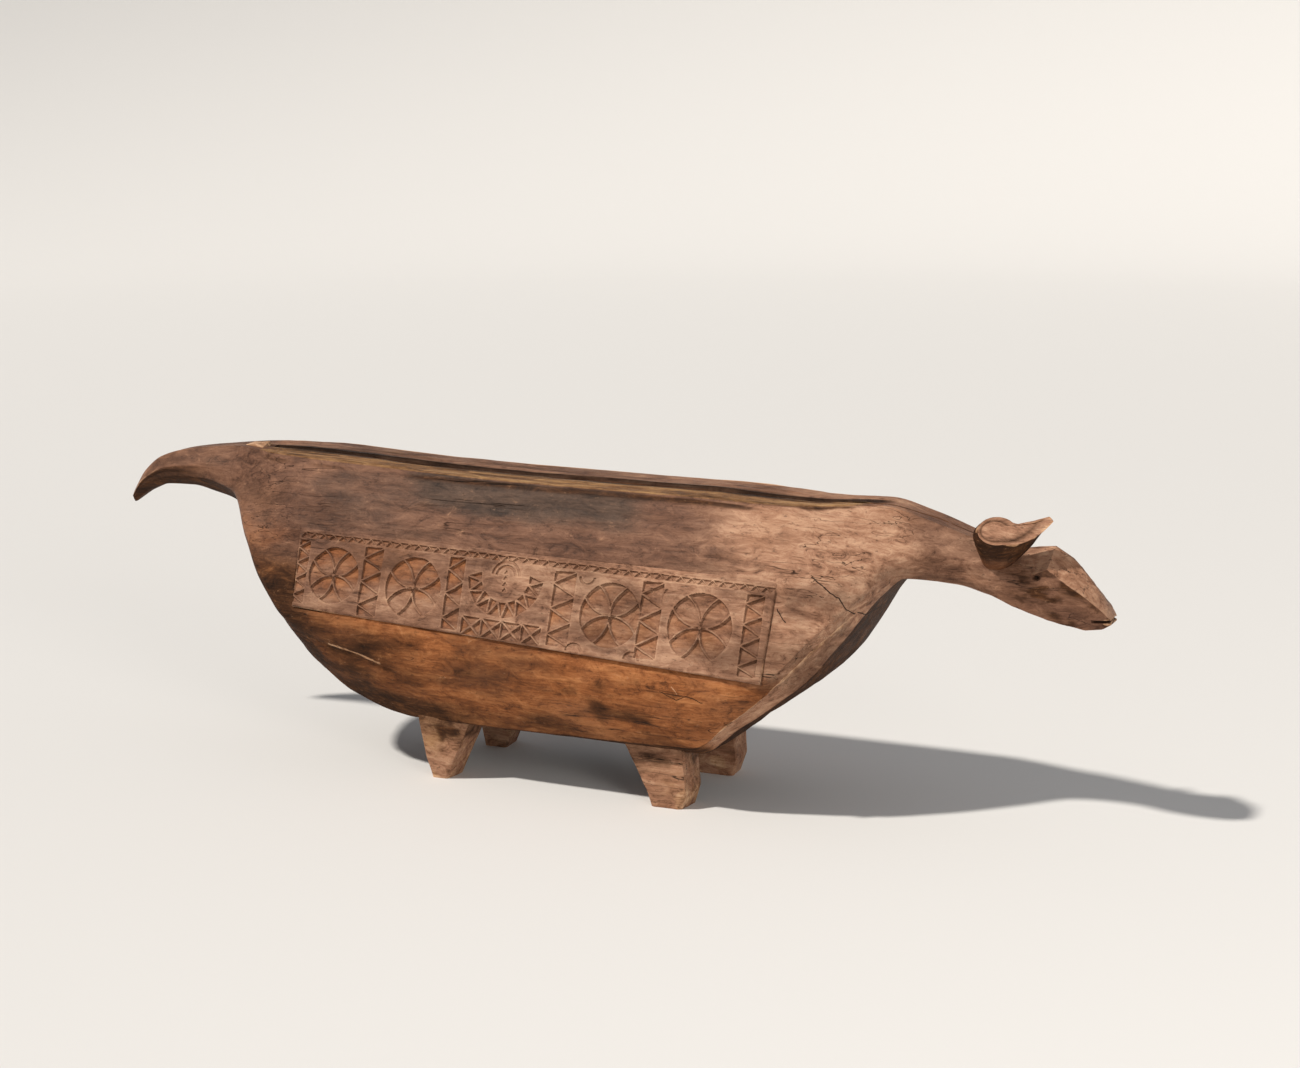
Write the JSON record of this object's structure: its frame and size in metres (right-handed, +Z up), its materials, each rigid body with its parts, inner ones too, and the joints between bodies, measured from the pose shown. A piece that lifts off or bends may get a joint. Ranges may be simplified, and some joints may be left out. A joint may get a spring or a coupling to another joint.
{
  "type": "slit drum",
  "caption": "Log slit drum carved as a horned animal: hollow body with a long slit in its back, hooked tail, wedge head, short legs and carved flank panels.",
  "frame": {"origin": "on the floor, under the middle of the drum's bounding box", "axes": "+X from the tail to the head, +Z up, and +Y towards the plainer flank"},
  "size_m": [2.71, 0.6, 0.8],
  "materials": {
    "carved_wood": "worn, hand-tooled hardwood with an old patina"
  },
  "bodies": {
    "root": {"drum": "carved_wood"}
  },
  "joints": []
}
